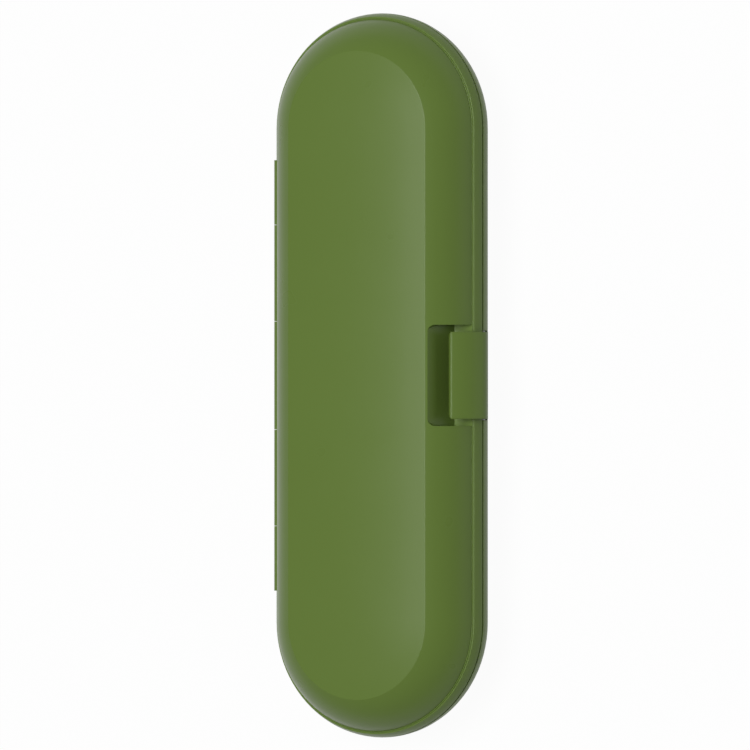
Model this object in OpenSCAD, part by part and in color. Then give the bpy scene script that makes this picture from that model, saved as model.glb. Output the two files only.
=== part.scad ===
// Travel case for an electric toothbrush: a pill-shaped two-shell box with a side latch.
// X runs along the case, the latch is on the -Y side and the hinge on the +Y side.
// The case lies on its flat back at z = 0, with the origin at the middle of that face.

/* [Case] */
// Overall length of the closed case
case_length = 224; // [200:1:250]
// Width at the widest level
case_width = 71.2; // [70:0.2:78]
// Height of the base, from the flat back to the widest level, where the hinge's axis lies
base_height = 18.5; // [18:0.5:22]
// Height of the lid, from that level to the middle of its crown
lid_height = 18.3; // [18:0.1:20]
// Wall thickness of both shells
wall = 2.0; // [1.6:0.1:2.2]
// Wall thickness at the rims, where the two shells meet
rim_wall = 2.4; // [2.2:0.1:2.8]
// Gap between the rims of the closed case
rim_gap = 0.3; // [0.2:0.05:0.4]
// Height of that gap above the hinge's axis
rim_level = 0.7; // [0.5:0.1:0.9]

/* [Outside form] */
// Radius of the bulge of both sides about the widest level
side_radius = 10; // [8:0.5:14]
// Height of the collar at the foot of the lid's dome
collar_height = 5; // [4.5:0.1:5.5]
// Width of the ledge between the collar and the dome
ledge = 0.55; // [0.4:0.05:1]
// Depth of the fine groove at the foot of the dome
groove = 0.2; // [0.15:0.05:0.4]
// Radius of the flank that runs from the collar up to the crown
flank_radius = 20.6; // [19:0.1:22]
// Radius of the crown's shallow arch
crown_radius = 218; // [180:1:300]
// Radius of the base's flank
base_flank_radius = 35; // [33:0.5:38]
// Radius between the base's flank and its flat back
back_edge_radius = 3; // [2:0.5:4]

/* [Hinge] */
// Length of the hinge barrel
hinge_length = 133.4; // [110:0.1:140]
// Radius of the hinge barrel
barrel_radius = 1.9; // [1.7:0.1:2.2]
// Radius of the hinge pin
pin_radius = 0.9; // [0.7:0.05:1.1]
// Radial clearance of the pins in their bores
pin_clearance = 0.04; // [0.02:0.01:0.08]
// Gap between the ends of two knuckles
knuckle_gap = 0.12; // [0.08:0.02:0.3]
// Gap round the barrel, where the other shell is cut away for it
barrel_room = 0.35; // [0.25:0.05:0.5]
// Length of each end knuckle, which belongs to the base
end_knuckle = 20; // [12:1:26]
// Length of the middle knuckle, which belongs to the base
mid_knuckle = 33.4; // [24:0.1:40]

/* [Latch] */
// Length of the latch tab along the case
tab_length = 27; // [22:0.5:34]
// Thickness of the tab
tab_wall = 1.6; // [1.4:0.1:1.7]
// Corner radius of the tab's free end
tab_corner = 2.0; // [1:0.1:3]
// Radius of the barrel that the tab turns on
tab_barrel = 1.7; // [1.6:0.1:1.8]
// Radius of the latch pin
tab_pin_radius = 0.75; // [0.6:0.05:0.8]
// Gap between the tab and the shells
tab_gap = 0.3; // [0.2:0.05:0.4]
// Length of the finger recess round the tab
recess_length = 31.2; // [30:0.2:38]
// Corner radius of the finger recess
recess_corner = 2.0; // [1:0.1:3]

/* [Inside] */
// Thickness of the two inner trays
tray_wall = 1.4; // [1.2:0.1:1.4]
// Radius of the trough that holds the handle
handle_radius = 14; // [12.5:0.1:14]
// Distance from the trough to the case's side
handle_margin = 10.6; // [10.4:0.1:11.4]
// Distance from the trough to the case's ends
handle_end_margin = 12; // [12:0.5:20]
// Radius of the wells for the brush heads
head_radius = 8.2; // [7:0.1:8.4]
// Distance from the wells to the case's side
head_margin = 8.8; // [8.6:0.1:9.6]
// Distance from the wells to the case's ends
head_end_margin = 25; // [25:0.5:32]
// Wall that divides the two wells
head_divider = 6; // [5:0.5:10]
// Height of the lip that guides the lid onto the base
lip_height = 1.8; // [1.2:0.1:2]
// Thickness of that lip
lip_wall = 1.2; // [1:0.1:1.4]
// Clearance between the lip and the lid, and round the trays
fit_gap = 0.3; // [0.2:0.05:0.4]
// Thickness of the soft saddles in the trough
saddle_wall = 1.2; // [0.8:0.1:1.4]
// Length of each saddle along the handle
saddle_length = 14; // [10:1:18]
// Distance of the outer saddles from the middle of the case
saddle_spacing = 62; // [50:1:70]

/* [Fasteners] */
// Shank radius of the tray screws
screw_radius = 0.9; // [0.8:0.05:1]
// Head radius of the tray screws
screw_head = 1.8; // [1.6:0.1:1.8]
// Length of the screws under the head
screw_length = 6; // [5:0.5:7]

/* [Hidden] */
eps = 0.01;
far = 400;
through = 20;

// The case outline is a pill: two half circles of this radius about x = +-half_straight
side_r = case_width / 2;
half_straight = (case_length - case_width) / 2;
turn_fn = 120;
arc_fn = 96;

// Outside section of the lid, in the r-z plane with z = 0 at the widest level
collar_inset = side_radius - sqrt(pow(side_radius, 2) - pow(collar_height, 2));
collar_r = side_r - collar_inset;
collar_edge = 0.45;
collar_lean = 0.12;
dome_r = collar_r - ledge;
flank_foot_angle = 17.3;
flank_r = dome_r - flank_radius * cos(flank_foot_angle);
flank_z = collar_height - flank_radius * sin(flank_foot_angle);
rim_edge = 0.35;
base_rim_edge = 0.12;
lid_rim = rim_level + rim_gap / 2;
base_rim = rim_level - rim_gap / 2;

// Outside section of the base, drawn upwards and mirrored about the widest level
base_step = 0.03;
base_foot_angle = asin(collar_height / side_radius);
base_flank_r = collar_r - base_step - base_flank_radius * cos(base_foot_angle);
base_flank_z = -collar_height + base_flank_radius * sin(base_foot_angle);
back_edge_z = base_flank_z + base_height - back_edge_radius;
back_r = base_flank_r + sqrt(pow(base_flank_radius - back_edge_radius, 2) - pow(back_edge_z, 2));
back_meet_depth = back_edge_z * base_flank_radius / (base_flank_radius - back_edge_radius) - base_flank_z;

// Rims, lip and the two trays
rim_r = side_r - rim_wall;
lip_r = rim_r - fit_gap;
lip_root = 4;
lip_relief = 0.1;
tray_r = lip_r - lip_wall - fit_gap;
base_deck = -1.5;
lid_deck = 2.4;
base_floor = -base_height + wall;

// Hinge, with its axis on the outline so that the lid folds right over
barrel_hole = pin_radius + pin_clearance;
lid_knuckle = (hinge_length - mid_knuckle - 2 * end_knuckle - 4 * knuckle_gap) / 2;
lid_knuckle_x = (mid_knuckle + lid_knuckle) / 2 + knuckle_gap;
end_knuckle_x = (hinge_length - end_knuckle) / 2;
web_drop = 4.2;
web_start = lid_rim + 0.15;
web_inset = 0.06;
web_top_inset = side_radius - sqrt(pow(side_radius, 2) - pow(web_drop, 2)) + 0.05;
pin_recess = 0.8;

// Latch tab: two arcs that meet where they are level, over a barrel sunk in the base's rim.
// All of its places are measured from the outline at the widest level.
tab_upper_radius = 17.2;
tab_lower_radius = 5.5;
tab_meet_tilt = 70;
tab_lower_r = side_r - 3.84;
tab_lower_z = 2;
tab_upper_r = tab_lower_r - (tab_upper_radius - tab_lower_radius) * sin(tab_meet_tilt);
tab_upper_z = tab_lower_z - (tab_upper_radius - tab_lower_radius) * cos(tab_meet_tilt);
tab_tip_tilt = 31.9;
tab_edge_tilt = 33.9;
tab_tip_r = tab_upper_r + (tab_upper_radius - tab_wall) * sin(tab_tip_tilt);
tab_tip = [tab_tip_r, tab_upper_z + (tab_upper_radius - tab_wall) * cos(tab_tip_tilt)];
tab_edge = [tab_upper_r + tab_upper_radius * sin(tab_edge_tilt),
    tab_upper_z + tab_upper_radius * cos(tab_edge_tilt)];
tab_end = 0.3 * (tab_edge - tab_tip);
tab_neck_tilt = 117.7;
tab_axis_r = side_r - 2.3;
tab_axis_z = -3.3;
tab_pin_hole = tab_pin_radius + pin_clearance;
tab_pin_length = tab_length + 7;
tab_bend_tilt = 95;
tab_bend = [tab_lower_r + tab_lower_radius * sin(tab_bend_tilt),
    tab_lower_z + tab_lower_radius * cos(tab_bend_tilt)];
tab_neck = [tab_lower_r + tab_lower_radius * sin(tab_neck_tilt),
    tab_lower_z + tab_lower_radius * cos(tab_neck_tilt)];
tab_heel = [tab_axis_r + tab_barrel * sin(tab_neck_tilt), tab_axis_z + tab_barrel * cos(tab_neck_tilt)];
tab_throat = [[tab_axis_r, tab_axis_z], [tab_axis_r - 0.1, tab_axis_z + tab_barrel - 0.02],
    [side_r - 1.1, -0.9], [side_r + 0.2, -0.1], [side_r + 0.25, 0.9]];
tab_slot_reach = 4;
tab_slot_low = 0.1;
tab_slot_high = 1.7;
catch_radius = 0.7;
catch_length = 18;
catch_r = collar_r - 0.3;
catch_z = collar_height + catch_radius + 0.35;

// Pocket in the base for the tab's barrel, and the block round it
pocket_r = tab_barrel + tab_gap;
block_wall = 1.6;
block_length = tab_pin_length + 3;
pocket_length = tab_length + 2 * tab_gap;
block_r = tab_axis_r - pocket_r - block_wall;
block_depth = 8;
pocket_inner = 0.3;
pocket_foot = 0.7;
pocket_fall = 1.5;
pocket_reach = 2;

// Finger recess in the lid: a steep wall behind the tab and a level floor behind the collar
recess_top_r = side_r - 11.05;
recess_top_z = 16.55;
recess_foot_r = side_r - 7.8;
recess_foot_z = collar_height - groove;
recess_rim_r = dome_r + ledge / 2;
recess_back_r = (recess_top_r + recess_foot_r) / 2 - wall;

// Trough and wells, placed from the sides and ends of the case
handle_offset = side_r - handle_margin - handle_radius;
handle_span = case_length - 2 * (handle_end_margin + handle_radius);
head_offset = side_r - head_margin - head_radius;
head_start = head_divider / 2;
head_end = case_length / 2 - head_end_margin;
lid_head_start = recess_length / 2 + wall + 2 * fit_gap + tray_wall;

// Screw places on the two decks, along the web between the trough and the wells
web_middle = (handle_radius - handle_offset + head_offset - head_radius) / 2;
screw_x = case_length / 2 - 19;
mid_screw_x = 31;
base_screws = [[-screw_x, web_middle - 0.2], [screw_x, web_middle - 0.2],
    [-mid_screw_x, web_middle - 0.1], [mid_screw_x, web_middle - 0.1]];
lid_screws = [[-screw_x, web_middle - 0.2], [screw_x, web_middle - 0.2],
    [-mid_screw_x, web_middle - 0.5], [mid_screw_x, web_middle - 0.5]];
boss_radius = 2.1;
screw_head_height = 1.1;
seat_wall = 0.9;
seat_radius = screw_head + 0.8;
seat_depth = 0.1;

// Vent slots in the back, and the drains in the wells above them
vent_width = 1.6;
vent_length = 9;
vent_pitch = 14;
vent_count = 4;
vent_y = 14;

// Soft saddles: three across the trough, each with two grooves
saddle_bond = 0.05;
saddle_arc = 150;
saddle_groove = 1.6;
saddle_groove_depth = 0.5;
well_base_z = -5;

case_colour = [0.40, 0.49, 0.25];
tray_colour = [0.34, 0.42, 0.21];
soft_colour = [0.26, 0.33, 0.17];
steel_colour = [0.72, 0.73, 0.74];

// Turns a half section in the r-z plane into the pill shape of the case.
// The straight latch side can be left open over a length in its middle.
module pill(open_length = 0) {
    for (end = [-1, 1])
        translate([end * half_straight, 0, 0])
            rotate([0, 0, -90 * end])
                rotate_extrude(angle = 180, $fn = turn_fn)
                    children();
    translate([-half_straight, 0, 0])
        rotate([90, 0, 90])
            linear_extrude(2 * half_straight)
                children();
    for (end = [0, 1])
        mirror([end, 0, 0])
            mirror([0, 1, 0])
                translate([open_length / 2, 0, 0])
                    rotate([90, 0, 90])
                        linear_extrude(half_straight - open_length / 2)
                            children();
}

// Extrudes a section drawn in the r-z plane of the latch side along X, centred
module along_latch_side(length) {
    mirror([0, 1, 0])
        translate([-length / 2, 0, 0])
            rotate([90, 0, 90])
                linear_extrude(length)
                    children();
}

// A round bar along X through a point given as y and z
module bar_x(radius, length, y, z, x = 0, fn = 48) {
    translate([x - length / 2, y, z])
        rotate([0, 90, 0])
            cylinder(r = radius, h = length, $fn = fn);
}

// The pieces are drawn from the widest level, and this sets them on the flat back
module at_widest() {
    translate([0, 0, base_height])
        children();
}

module disc(radius, r, z) {
    translate([r, z])
        circle(r = radius, $fn = arc_fn);
}

module block2d(r0, z0, r1, z1) {
    translate([r0, z0])
        square([r1 - r0, z1 - z0]);
}

// Half section of the dome, drawn in by an even inset
module dome_half(inset = 0) {
    intersection() {
        translate([0, lid_height - crown_radius])
            circle(r = crown_radius - inset, $fn = 8 * arc_fn);
        union() {
            disc(flank_radius - inset, flank_r, flank_z);
            block2d(0, 0, flank_r, lid_height + 1);
        }
        block2d(0, 0, side_r, lid_height + 1);
    }
}

// Half section of the bulge about the widest level, between two heights
module bulge_half(z0, z1) {
    intersection() {
        union() {
            disc(side_radius, side_r - side_radius, 0);
            block2d(0, z0, side_r - side_radius, z1);
        }
        block2d(0, z0, side_r, z1);
    }
}

module lid_outer_half() {
    difference() {
        union() {
            dome_half();
            difference() {
                bulge_half(lid_rim, collar_height);
                block2d(collar_r - collar_edge, collar_height - collar_edge, side_r, collar_height + 1);
            }
            disc(collar_edge, collar_r - collar_edge - collar_lean, collar_height - collar_edge);
        }
        polygon([[dome_r, collar_height + eps], [dome_r + ledge / 2, collar_height + eps],
            [dome_r, collar_height - groove]]);
        block2d(0, -far, side_r + 1, lid_rim);
        polygon([[side_r + 1, 0], [side_r + 1, lid_rim + rim_edge], [side_r, lid_rim + rim_edge],
            [side_r - rim_edge, lid_rim], [side_r - rim_edge, 0]]);
    }
}

module lid_inner_half() {
    dome_half(wall);
    block2d(0, -1, rim_r, collar_height - wall + 0.6);
}

// Half section of the base's outside, below the widest level
module base_outer_half() {
    difference() {
        mirror([0, 1])
            union() {
                bulge_half(-base_rim, collar_height);
                intersection() {
                    union() {
                        disc(base_flank_radius, base_flank_r, -base_flank_z);
                        block2d(0, 0, base_flank_r, base_height);
                    }
                    block2d(0, collar_height, side_r, back_meet_depth);
                }
                disc(back_edge_radius, back_r, base_height - back_edge_radius);
                block2d(0, base_height - back_edge_radius, back_r, base_height);
            }
        polygon([[side_r + 1, base_rim + 1], [side_r + 1, base_rim - base_rim_edge],
            [side_r, base_rim - base_rim_edge], [side_r - base_rim_edge, base_rim], [side_r - base_rim_edge, base_rim + 1]]);
    }
}

// Half section of the base's hollow, or of a layer within its wall where depth is less than 1
module base_inner_half(depth = 1) {
    mirror([0, 1])
        intersection() {
            union() {
                disc(base_flank_radius - depth * wall, base_flank_r, -base_flank_z);
                block2d(0, -1, base_flank_r, base_height);
            }
            block2d(0, -1, side_r - depth * rim_wall, base_height - depth * wall);
        }
}

// Half section of the lip inside the base's rim
module lip_half() {
    block2d(lip_r - lip_wall, -lip_root, lip_r, lip_height);
    block2d(lip_r - eps, -lip_root, rim_r + 0.2, -lip_relief);
}

// Round bar section of the knuckle and the web that carries it from the shell's wall.
// up is 1 for the lid and -1 for the base.
module knuckle(length, x, up) {
    bar_x(barrel_radius, length, side_r, 0, x);
    translate([x - length / 2, 0, 0])
        rotate([90, 0, 90])
            linear_extrude(length)
                polygon([[side_r - rim_wall + 0.2, up * web_drop], [side_r - rim_wall + 0.2, up * web_start],
                    [side_r - web_inset, up * web_start], [side_r - web_inset, up * barrel_radius],
                    [side_r - web_top_inset, up * web_drop]]);
}

// The room that the other shell's knuckles turn in
module knuckle_room(length, x) {
    bar_x(barrel_radius + barrel_room, length + 2 * knuckle_gap, side_r, 0, x);
}

module pin_bore(length) {
    bar_x(barrel_hole, length, side_r, 0);
}

// Wedge about a centre, between two tilts measured from straight up
module wedge(r, z, tilt_a, tilt_b) {
    reach = 60;
    polygon([[r, z], [r + reach * sin(tilt_a), z + reach * cos(tilt_a)],
        [r + reach * sin(tilt_b), z + reach * cos(tilt_b)]]);
}

// Section of the tab in the r-z plane: two arcs over the lid, a neck and the barrel
module tab_section() {
    difference() {
        union() {
            intersection() {
                difference() {
                    disc(tab_upper_radius, tab_upper_r, tab_upper_z);
                    disc(tab_upper_radius - tab_wall, tab_upper_r, tab_upper_z);
                }
                difference() {
                    wedge(tab_upper_r, tab_upper_z, tab_tip_tilt - 5, tab_meet_tilt);
                    polygon([tab_tip - tab_end, tab_edge + tab_end, tab_edge + tab_end + [0, 3],
                        tab_tip - tab_end - [4, 0]]);
                }
            }
            intersection() {
                difference() {
                    disc(tab_lower_radius, tab_lower_r, tab_lower_z);
                    disc(tab_lower_radius - tab_wall, tab_lower_r, tab_lower_z);
                }
                wedge(tab_lower_r, tab_lower_z, tab_meet_tilt - 0.05, tab_neck_tilt);
            }
            polygon(concat([tab_neck, tab_heel], tab_throat, [tab_bend]));
            disc(tab_barrel, tab_axis_r, tab_axis_z);
        }
        block2d(side_r - tab_slot_reach, tab_slot_low, side_r + tab_gap, tab_slot_high);
        disc(tab_pin_hole, tab_axis_r, tab_axis_z);
    }
}

// Upright prism with two rounded corners at its inner end, in plan on the latch side
module rounded_plan(length, start_r, corner) {
    mirror([0, 1, 0])
        translate([0, 0, -base_height])
            linear_extrude(3 * base_height)
                union() {
                    translate([-length / 2 + corner, start_r])
                        square([length - 2 * corner, side_r]);
                    translate([-length / 2, start_r + corner])
                        square([length, side_r]);
                    for (end = [-1, 1])
                        translate([end * (length / 2 - corner), start_r + corner])
                            circle(r = corner, $fn = 48);
                }
}

module latch_tab() {
    color(case_colour)
        at_widest()
            union() {
                intersection() {
                    along_latch_side(tab_length)
                        tab_section();
                    rounded_plan(tab_length, tab_tip_r, tab_corner);
                }
                along_latch_side(catch_length)
                    intersection() {
                        disc(catch_radius, catch_r, catch_z);
                        disc(tab_upper_radius - 0.2, tab_upper_r, tab_upper_z);
                    }
            }
}

module latch_pin() {
    color(steel_colour)
        at_widest()
            bar_x(tab_pin_radius, tab_pin_length, -tab_axis_r, tab_axis_z);
}

module hinge_pin() {
    color(steel_colour)
        at_widest()
            bar_x(pin_radius, hinge_length - 2 * pin_recess, side_r, 0);
}

// Section of the room for the tab's barrel and neck in the base's rim
module pocket_section() {
    disc(pocket_r, tab_axis_r, tab_axis_z);
    polygon([[tab_axis_r - pocket_inner, 1], [tab_axis_r - pocket_inner, tab_axis_z],
        [tab_axis_r - pocket_foot, tab_axis_z - pocket_r + 0.2],
        [side_r + pocket_reach, tab_axis_z - pocket_r - pocket_fall], [side_r + pocket_reach, 1]]);
}

// Section of the base's wall and its lip
module base_section() {
    difference() {
        base_outer_half();
        base_inner_half();
    }
    lip_half();
}

// The same section with the block that the latch pin sits in
module block_section() {
    base_section();
    intersection() {
        block2d(block_r, -block_depth, side_r, -lip_relief);
        base_inner_half(0.5);
    }
}

// The stretch of the base's side with the tab's pocket and the seats of the latch pin
module latch_block() {
    along_latch_side(pocket_length)
        difference() {
            block_section();
            pocket_section();
        }
    for (end = [0, 1])
        mirror([end, 0, 0])
            difference() {
                mirror([0, 1, 0])
                    translate([pocket_length / 2, 0, 0])
                        rotate([90, 0, 90])
                            linear_extrude((block_length - pocket_length) / 2)
                                block_section();
                bar_x(tab_pin_hole, tab_pin_length + 0.4, -tab_axis_r, tab_axis_z);
            }
}

module screw_boss(place, z0, z1) {
    translate([place[0], place[1], z0])
        cylinder(r = boss_radius, h = z1 - z0, $fn = 40);
}

module vent_slots() {
    for (side = [-1, 1], n = [0 : vent_count - 1])
        translate([side * ((head_start + head_end) / 2 + (n - (vent_count - 1) / 2) * vent_pitch), -vent_y, -base_height - 1])
            linear_extrude(2 * wall)
                union() {
                    square([vent_width, vent_length - vent_width], center = true);
                    for (end = [-1, 1])
                        translate([0, end * (vent_length - vent_width) / 2])
                            circle(d = vent_width, $fn = 24);
                }
}

module base_shell() {
    color(case_colour)
        at_widest()
            difference() {
                union() {
                    pill(block_length)
                        base_section();
                    latch_block();
                    for (x = [-end_knuckle_x, end_knuckle_x])
                        knuckle(end_knuckle, x, -1);
                    knuckle(mid_knuckle, 0, -1);
                    for (place = base_screws)
                        screw_boss([place[0], -place[1]], base_floor - eps, base_deck - tray_wall);
                }
                for (x = [-lid_knuckle_x, lid_knuckle_x])
                    knuckle_room(lid_knuckle, x);
                pin_bore(hinge_length + 2);
                for (place = base_screws)
                    translate([place[0], -place[1], base_deck - tray_wall - screw_length])
                        cylinder(r = screw_radius + pin_clearance, h = screw_length + 1, $fn = 32);
                vent_slots();
            }
}

// Section of the finger recess, and of the wall behind it when it is drawn in by the wall's thickness
module recess_section(inset = 0) {
    polygon([[recess_top_r - inset, recess_top_z], [recess_foot_r - inset, recess_foot_z - inset / 2],
        [recess_rim_r, recess_foot_z - inset / 2], [recess_rim_r, collar_height], [side_r + 2, collar_height],
        [side_r + 2, lid_height + 2], [recess_top_r - inset + 1, lid_height + 2]]);
}

module lid_shell() {
    color(case_colour)
        at_widest()
            difference() {
                union() {
                    pill()
                        difference() {
                            lid_outer_half();
                            lid_inner_half();
                        }
                    along_latch_side(recess_length + 2 * wall)
                        intersection() {
                            recess_section(wall);
                            lid_outer_half();
                        }
                    for (x = [-lid_knuckle_x, lid_knuckle_x])
                        knuckle(lid_knuckle, x, 1);
                    for (place = lid_screws)
                        screw_boss([place[0], -place[1]], lid_deck + tray_wall, lid_height - wall + 0.3);
                }
                intersection() {
                    along_latch_side(recess_length)
                        recess_section();
                    rounded_plan(recess_length, recess_top_r, recess_corner);
                }
                knuckle_room(mid_knuckle, 0);
                for (x = [-end_knuckle_x, end_knuckle_x])
                    knuckle_room(end_knuckle, x);
                pin_bore(hinge_length + 2);
                for (place = lid_screws)
                    translate([place[0], -place[1], lid_deck + tray_wall - 1])
                        cylinder(r = screw_radius + pin_clearance, h = screw_length + 1, $fn = 32);
            }
}

// A bar with round ends along X, for the trough and the wells
module capsule(radius, span, y, z, x = 0) {
    bar_x(radius, span, y, z, x, 96);
    for (end = [-1, 1])
        translate([x + end * span / 2, y, z])
            sphere(r = radius, $fn = 96);
}

// Upright prism of the same plan as a capsule, from z0 to z1
module capsule_plan(radius, span, y, z0, z1, x = 0) {
    translate([x, y, z0])
        linear_extrude(z1 - z0)
            union() {
                square([span, 2 * radius], center = true);
                for (end = [-1, 1])
                    translate([end * span / 2, 0])
                        circle(r = radius, $fn = 96);
            }
}

// The trough and both wells. grow is 0 for the hollows and the tray's wall for its outside.
module tray_hollows(well_z, deck, grow, up, well_start) {
    span = head_end - well_start - 2 * head_radius;
    middle = (head_end + well_start) / 2;
    capsule(handle_radius + grow, handle_span, handle_offset, 0);
    for (side = [-1, 1]) {
        capsule(head_radius + grow, span, -head_offset, well_z, side * middle);
        capsule_plan(head_radius + grow, span, -head_offset,
            min(well_z, deck - up), max(well_z, deck - up), side * middle);
    }
}

// A tray: a deck with its hollows, which open towards the gap between the shells.
// up is 1 for the lid's tray and -1 for the base's.
module tray(deck, well_z, well_start, up, screws, notch_r, notch_length) {
    back = deck + up * tray_wall;
    difference() {
        union() {
            pill()
                block2d(0, min(deck, back), tray_r, max(deck, back));
            difference() {
                tray_hollows(well_z, deck, tray_wall, up, well_start);
                translate([-far, -far, up > 0 ? deck - far : deck])
                    cube([2 * far, 2 * far, far]);
            }
            for (place = screws)
                translate([place[0], -place[1], min(back, back - up * seat_depth)])
                    cylinder(r = seat_radius, h = seat_depth, $fn = 40);
        }
        tray_hollows(well_z, deck, 0, up, well_start);
        translate([-notch_length / 2, -2 * side_r, -side_r])
            cube([notch_length, 2 * side_r - notch_r, 2 * side_r]);
        for (place = screws)
            translate([place[0], -place[1], deck]) {
                translate([0, 0, -up])
                    mirror([0, 0, up > 0 ? 0 : 1])
                        cylinder(r = screw_head + 0.2, h = screw_head_height + 1, $fn = 40);
                translate([0, 0, -through / 2])
                    cylinder(r = screw_radius + 0.2, h = through, $fn = 32);
            }
    }
}

module base_tray() {
    color(tray_colour)
        at_widest()
            difference() {
                tray(base_deck, well_base_z, head_start, -1, base_screws, block_r - fit_gap,
                    block_length + 2 * fit_gap);
                vent_slots();
            }
}

module lid_tray() {
    color(tray_colour)
        at_widest()
            tray(lid_deck, lid_deck, lid_head_start, 1, lid_screws, recess_back_r - fit_gap,
                recess_length + 2 * wall + 2 * fit_gap);
}

// A pan-head screw whose head seats at z = 0 and whose shank runs down to -screw_length
module screw() {
    translate([0, 0, -screw_length + 0.3])
        cylinder(r = screw_radius, h = screw_length - 0.3 + eps, $fn = 32);
    difference() {
        cylinder(r1 = screw_head, r2 = screw_head * 0.8, h = screw_head_height, $fn = 40);
        for (turn = [0, 90])
            rotate([0, 0, turn])
                translate([-screw_head * 0.55, -0.2, screw_head_height - 0.5])
                    cube([screw_head * 1.1, 0.4, 1]);
    }
}

module base_tray_screws() {
    color(steel_colour)
        at_widest()
            for (place = base_screws)
                translate([place[0], -place[1], base_deck - screw_head_height])
                    screw();
}

module lid_tray_screws() {
    color(steel_colour)
        at_widest()
            for (place = lid_screws)
                translate([place[0], -place[1], lid_deck + screw_head_height])
                    mirror([0, 0, 1])
                        screw();
}

// A soft saddle across the trough, below the handle's axis
module saddle(x) {
    outer = handle_radius - saddle_bond;
    translate([x, handle_offset, 0])
        rotate([0, 90, 0])
            rotate([0, 0, -saddle_arc / 2])
                rotate_extrude(angle = saddle_arc, $fn = 120)
                    difference() {
                        translate([outer - saddle_wall, -saddle_length / 2])
                            square([saddle_wall, saddle_length]);
                        for (side = [-1, 1])
                            translate([outer - saddle_wall - eps, side * saddle_length / 5 - saddle_groove / 2])
                                square([saddle_groove_depth, saddle_groove]);
                    }
}

module base_saddle(x) {
    color(soft_colour)
        at_widest()
            saddle(x);
}

module lid_saddle(x) {
    color(soft_colour)
        at_widest()
            mirror([0, 0, 1])
                saddle(x);
}

base_shell();
lid_shell();
hinge_pin();
latch_tab();
latch_pin();
base_tray();
lid_tray();
base_tray_screws();
lid_tray_screws();
base_saddle(-saddle_spacing);  // base_saddle_foot
base_saddle(0);  // base_saddle_middle
base_saddle(saddle_spacing);  // base_saddle_neck
lid_saddle(-saddle_spacing);  // lid_saddle_foot
lid_saddle(0);  // lid_saddle_middle
lid_saddle(saddle_spacing);  // lid_saddle_neck
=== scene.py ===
import math

import bpy
from mathutils import Matrix, Vector

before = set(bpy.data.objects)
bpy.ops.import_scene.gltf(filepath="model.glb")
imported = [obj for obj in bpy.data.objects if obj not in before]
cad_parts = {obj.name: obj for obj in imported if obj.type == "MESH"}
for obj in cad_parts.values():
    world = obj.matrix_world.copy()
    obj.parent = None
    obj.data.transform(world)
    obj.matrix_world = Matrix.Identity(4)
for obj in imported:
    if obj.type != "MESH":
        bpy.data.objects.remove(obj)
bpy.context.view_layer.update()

# The photograph is 750 pixels wide and looks down on the latch side with +X up
FRAME_WIDTH = 0.2320
FRAME_PIXELS = 750
ELEVATION = math.radians(62.3)
PARTING_CENTRE = Vector((0, 0, 0.0185))
PARTING_PIXEL = (382.1, 375.4)
LENS = 1400
SENSOR = 36

# The floor lies just under the case, and shows nearly as white as the surroundings
FLOOR_SIZE = 6
FLOOR_DROP = 0.0004
FLOOR_WHITE = 0.96

# How bright the white surroundings look in a reflection, and how much they light the case
MIRRORED = 0.5
FILL = 0.10

# Colours are linear
CASE_COLOURS = ((0.121, 0.191, 0.036), (0.113, 0.179, 0.031))
TRAY_COLOURS = ((0.100, 0.152, 0.042), (0.088, 0.136, 0.036))
SADDLE_COLOURS = ((0.060, 0.092, 0.034), (0.048, 0.075, 0.026))
STEEL_COLOURS = ((0.70, 0.70, 0.71), (0.48, 0.48, 0.50))

PARTS = {
    "case": ["base_shell", "lid_shell"],
    "tab": ["latch_tab"],
    "tray": ["base_tray", "lid_tray"],
    "steel": ["hinge_pin", "latch_pin", "base_tray_screws", "lid_tray_screws"],
    "soft": ["base_saddle_foot", "base_saddle_middle", "base_saddle_neck",
             "lid_saddle_foot", "lid_saddle_middle", "lid_saddle_neck"],
}


def make_camera():
    """A long lens along the photograph's line of sight, rolled so that +X points up."""
    right = Vector((0, -math.sin(ELEVATION), -math.cos(ELEVATION)))
    up = Vector((1, 0, 0))
    back = right.cross(up)
    pixel = FRAME_WIDTH / FRAME_PIXELS
    target = (PARTING_CENTRE + right * (FRAME_PIXELS / 2 - PARTING_PIXEL[0]) * pixel
              + up * (PARTING_PIXEL[1] - FRAME_PIXELS / 2) * pixel)
    distance = FRAME_WIDTH * LENS / SENSOR
    camera = bpy.data.objects.new("camera", bpy.data.cameras.new("camera"))
    camera.data.lens = LENS
    camera.data.sensor_width = SENSOR
    camera.data.clip_start = 0.1
    camera.data.clip_end = 3 * distance
    turn = Matrix((right, up, back)).transposed().to_4x4()
    camera.matrix_world = Matrix.Translation(target + back * distance) @ turn
    bpy.context.scene.collection.objects.link(camera)
    bpy.context.scene.camera = camera


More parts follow.
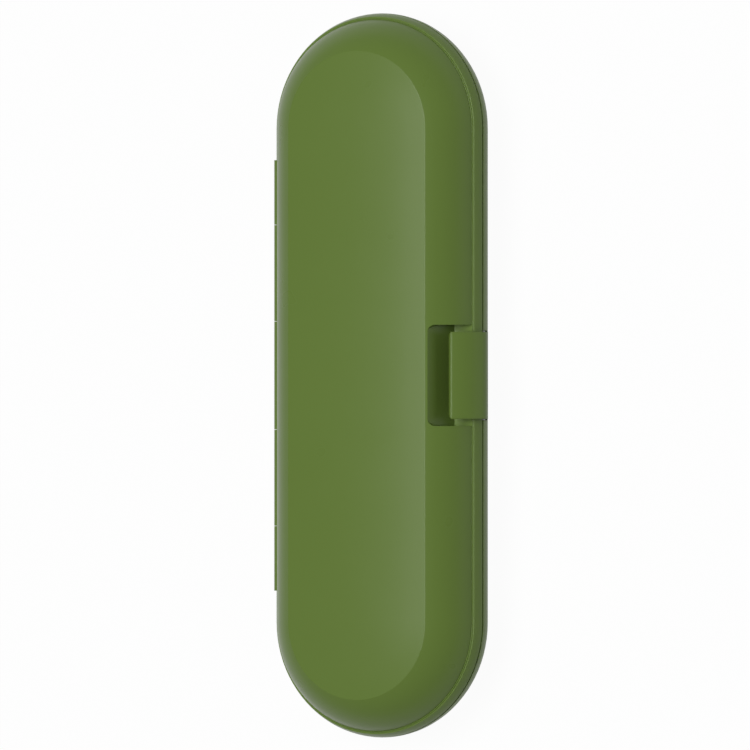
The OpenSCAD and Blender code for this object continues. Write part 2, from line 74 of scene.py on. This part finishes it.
class Nodes:
    """A node tree with short calls: add a node with its settings and inputs, and link sockets."""

    def __init__(self, tree):
        self.tree = tree
        tree.nodes.clear()

    def add(self, kind, settings=None, **inputs):
        node = self.tree.nodes.new(kind)
        for name, value in (settings or {}).items():
            setattr(node, name, value)
        for name, value in inputs.items():
            self.put(node.inputs[name.replace("_", " ")], value)
        return node

    def put(self, socket, value):
        if isinstance(value, bpy.types.NodeSocket):
            self.tree.links.new(value, socket)
        else:
            socket.default_value = value

    def math(self, operation, a, b, clamp=False):
        node = self.add("ShaderNodeMath", {"operation": operation, "use_clamp": clamp})
        self.put(node.inputs[0], a)
        self.put(node.inputs[1], b)
        return node.outputs[0]

    def mix(self, factor, colours):
        """From the second of two linear colours at 0 to the first at 1."""
        node = self.add("ShaderNodeMix", {"data_type": "RGBA"})
        self.put(node.inputs["Factor"], factor)
        self.put(node.inputs[6], (*colours[1], 1))
        self.put(node.inputs[7], (*colours[0], 1))
        return node.outputs[2]

    def mix_shaders(self, factor, first, second):
        node = self.add("ShaderNodeMixShader")
        for socket, value in zip(node.inputs, (factor, first, second)):
            self.put(socket, value)
        return node.outputs[0]

    def noise(self, coordinates, scale, detail=2.0):
        return self.add("ShaderNodeTexNoise", Vector=coordinates, Scale=scale, Detail=detail).outputs["Fac"]

    def place(self):
        return self.add("ShaderNodeTexCoord").outputs["Object"]

    def seen_and_mirrored(self):
        """1 for the camera and through clear things, and MIRRORED in a reflection."""
        path = self.add("ShaderNodeLightPath")
        seen = self.math("MAXIMUM", path.outputs["Is Camera Ray"], path.outputs["Is Transmission Ray"])
        return self.math("MAXIMUM", seen, self.math("MULTIPLY", path.outputs["Is Glossy Ray"], MIRRORED))

    def show(self, shader):
        self.add("ShaderNodeOutputMaterial", Surface=shader.outputs[0])


def new_material(name):
    material = bpy.data.materials.new(name)
    material.use_nodes = True
    return material, Nodes(material.node_tree)


def plastic(name, colours, roughness, grain, grain_depth, edge):
    """Moulded plastic: a slow drift of shade and a fine grain, with the light softened on edges."""
    material, nodes = new_material(name)
    place = nodes.place()
    drift = nodes.math("MULTIPLY", nodes.noise(place, 14, 1.0), 0.8)
    fleck = nodes.math("MULTIPLY", nodes.noise(place, 2600, 1.0), 0.25)
    colour = nodes.mix(nodes.math("ADD", drift, fleck, clamp=True), colours)
    rough = nodes.math("ADD", nodes.math("MULTIPLY", nodes.noise(place, 60), 0.08), roughness - 0.04)
    rounded = nodes.add("ShaderNodeBevel", {"samples": 6}, Radius=edge)
    bump = nodes.add("ShaderNodeBump", Strength=0.35, Distance=grain_depth,
                     Height=nodes.noise(place, grain, 3.0), Normal=rounded.outputs[0])
    nodes.show(nodes.add("ShaderNodeBsdfPrincipled", Base_Color=colour, Roughness=rough,
                         Normal=bump.outputs[0], IOR=1.46, Specular_IOR_Level=0.28))
    return material


def rubber(name, colours):
    """Soft silicone: matt, with a faint dusty sheen."""
    material, nodes = new_material(name)
    place = nodes.place()
    colour = nodes.mix(nodes.noise(place, 220, 4.0), colours)
    bump = nodes.add("ShaderNodeBump", Strength=0.4, Distance=0.00004, Height=nodes.noise(place, 3200))
    nodes.show(nodes.add("ShaderNodeBsdfPrincipled", Base_Color=colour, Roughness=0.82,
                         Normal=bump.outputs[0], Sheen_Weight=0.15))
    return material


def steel(name, colours):
    """Drawn stainless wire: fine streaks along X in shade and roughness."""
    material, nodes = new_material(name)
    streak = nodes.add("ShaderNodeMapping", Vector=nodes.place(), Scale=(40, 4000, 4000))
    grain = nodes.noise(streak.outputs[0], 1.0, 3.0)
    rough = nodes.math("ADD", nodes.math("MULTIPLY", grain, 0.2), 0.36)
    bump = nodes.add("ShaderNodeBump", Strength=0.2, Distance=0.00002, Height=grain)
    nodes.show(nodes.add("ShaderNodeBsdfPrincipled", Base_Color=nodes.mix(grain, colours), Metallic=1.0,
                         Roughness=rough, Normal=bump.outputs[0]))
    return material


def dress(material, names):
    for name in names:
        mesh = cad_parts[name].data
        mesh.materials.clear()
        mesh.materials.append(material)


def make_floor():
    """A pale floor that the camera sees as white with a soft shadow, and that is clear from below."""
    bpy.ops.mesh.primitive_plane_add(size=FLOOR_SIZE, location=(0, 0, -FLOOR_DROP))
    floor = bpy.context.object
    floor.name = "floor"
    material, nodes = new_material("floor")
    tone = nodes.mix(nodes.noise(nodes.place(), 3), ((0.77, 0.77, 0.77), (0.74, 0.74, 0.74)))
    matt = nodes.add("ShaderNodeBsdfDiffuse", Color=tone).outputs[0]
    glow = nodes.add("ShaderNodeEmission", Color=(1, 1, 1, 1), Strength=1.0).outputs[0]
    top = nodes.mix_shaders(nodes.math("MULTIPLY", nodes.seen_and_mirrored(), FLOOR_WHITE), matt, glow)
    below = nodes.add("ShaderNodeNewGeometry").outputs["Backfacing"]
    clear = nodes.add("ShaderNodeBsdfTransparent").outputs[0]
    nodes.add("ShaderNodeOutputMaterial", Surface=nodes.mix_shaders(below, top, clear))
    floor.data.materials.append(material)


def make_world():
    """White surroundings for the camera, softer in reflections, and a weak fill on everything else."""
    world = bpy.data.worlds.new("studio")
    bpy.context.scene.world = world
    world.use_nodes = True
    nodes = Nodes(world.node_tree)
    strength = nodes.math("MAXIMUM", nodes.seen_and_mirrored(), FILL)
    glow = nodes.add("ShaderNodeBackground", Color=(1, 1, 1, 1), Strength=strength)
    nodes.add("ShaderNodeOutputWorld", Surface=glow.outputs[0])


def softbox(name, location, size, energy):
    """A round lamp that points at the middle of the case."""
    lamp = bpy.data.lights.new(name, "AREA")
    lamp.shape = "DISK"
    lamp.size = size
    lamp.energy = energy
    lamp_object = bpy.data.objects.new(name, lamp)
    lamp_object.location = location
    lamp_object.rotation_mode = "QUATERNION"
    lamp_object.rotation_quaternion = (PARTING_CENTRE - Vector(location)).to_track_quat("-Z", "Y")
    bpy.context.scene.collection.objects.link(lamp_object)


make_camera()
bpy.context.scene.view_settings.view_transform = "Standard"

dress(plastic("case_plastic", CASE_COLOURS, roughness=0.29, grain=1500, grain_depth=0.00003, edge=0.0002),
      PARTS["case"])
dress(plastic("tab_plastic", CASE_COLOURS, roughness=0.29, grain=1500, grain_depth=0.00003, edge=0.0009),
      PARTS["tab"])
dress(plastic("tray_plastic", TRAY_COLOURS, roughness=0.55, grain=1100, grain_depth=0.00004, edge=0.0003),
      PARTS["tray"])
dress(rubber("saddle_rubber", SADDLE_COLOURS), PARTS["soft"])
dress(steel("pin_steel", STEEL_COLOURS), PARTS["steel"])

make_floor()
make_world()
softbox("key", (0.30, -0.08, 3.0), size=1.7, energy=74)
softbox("side", (1.05, -0.10, 2.8), size=0.9, energy=6)
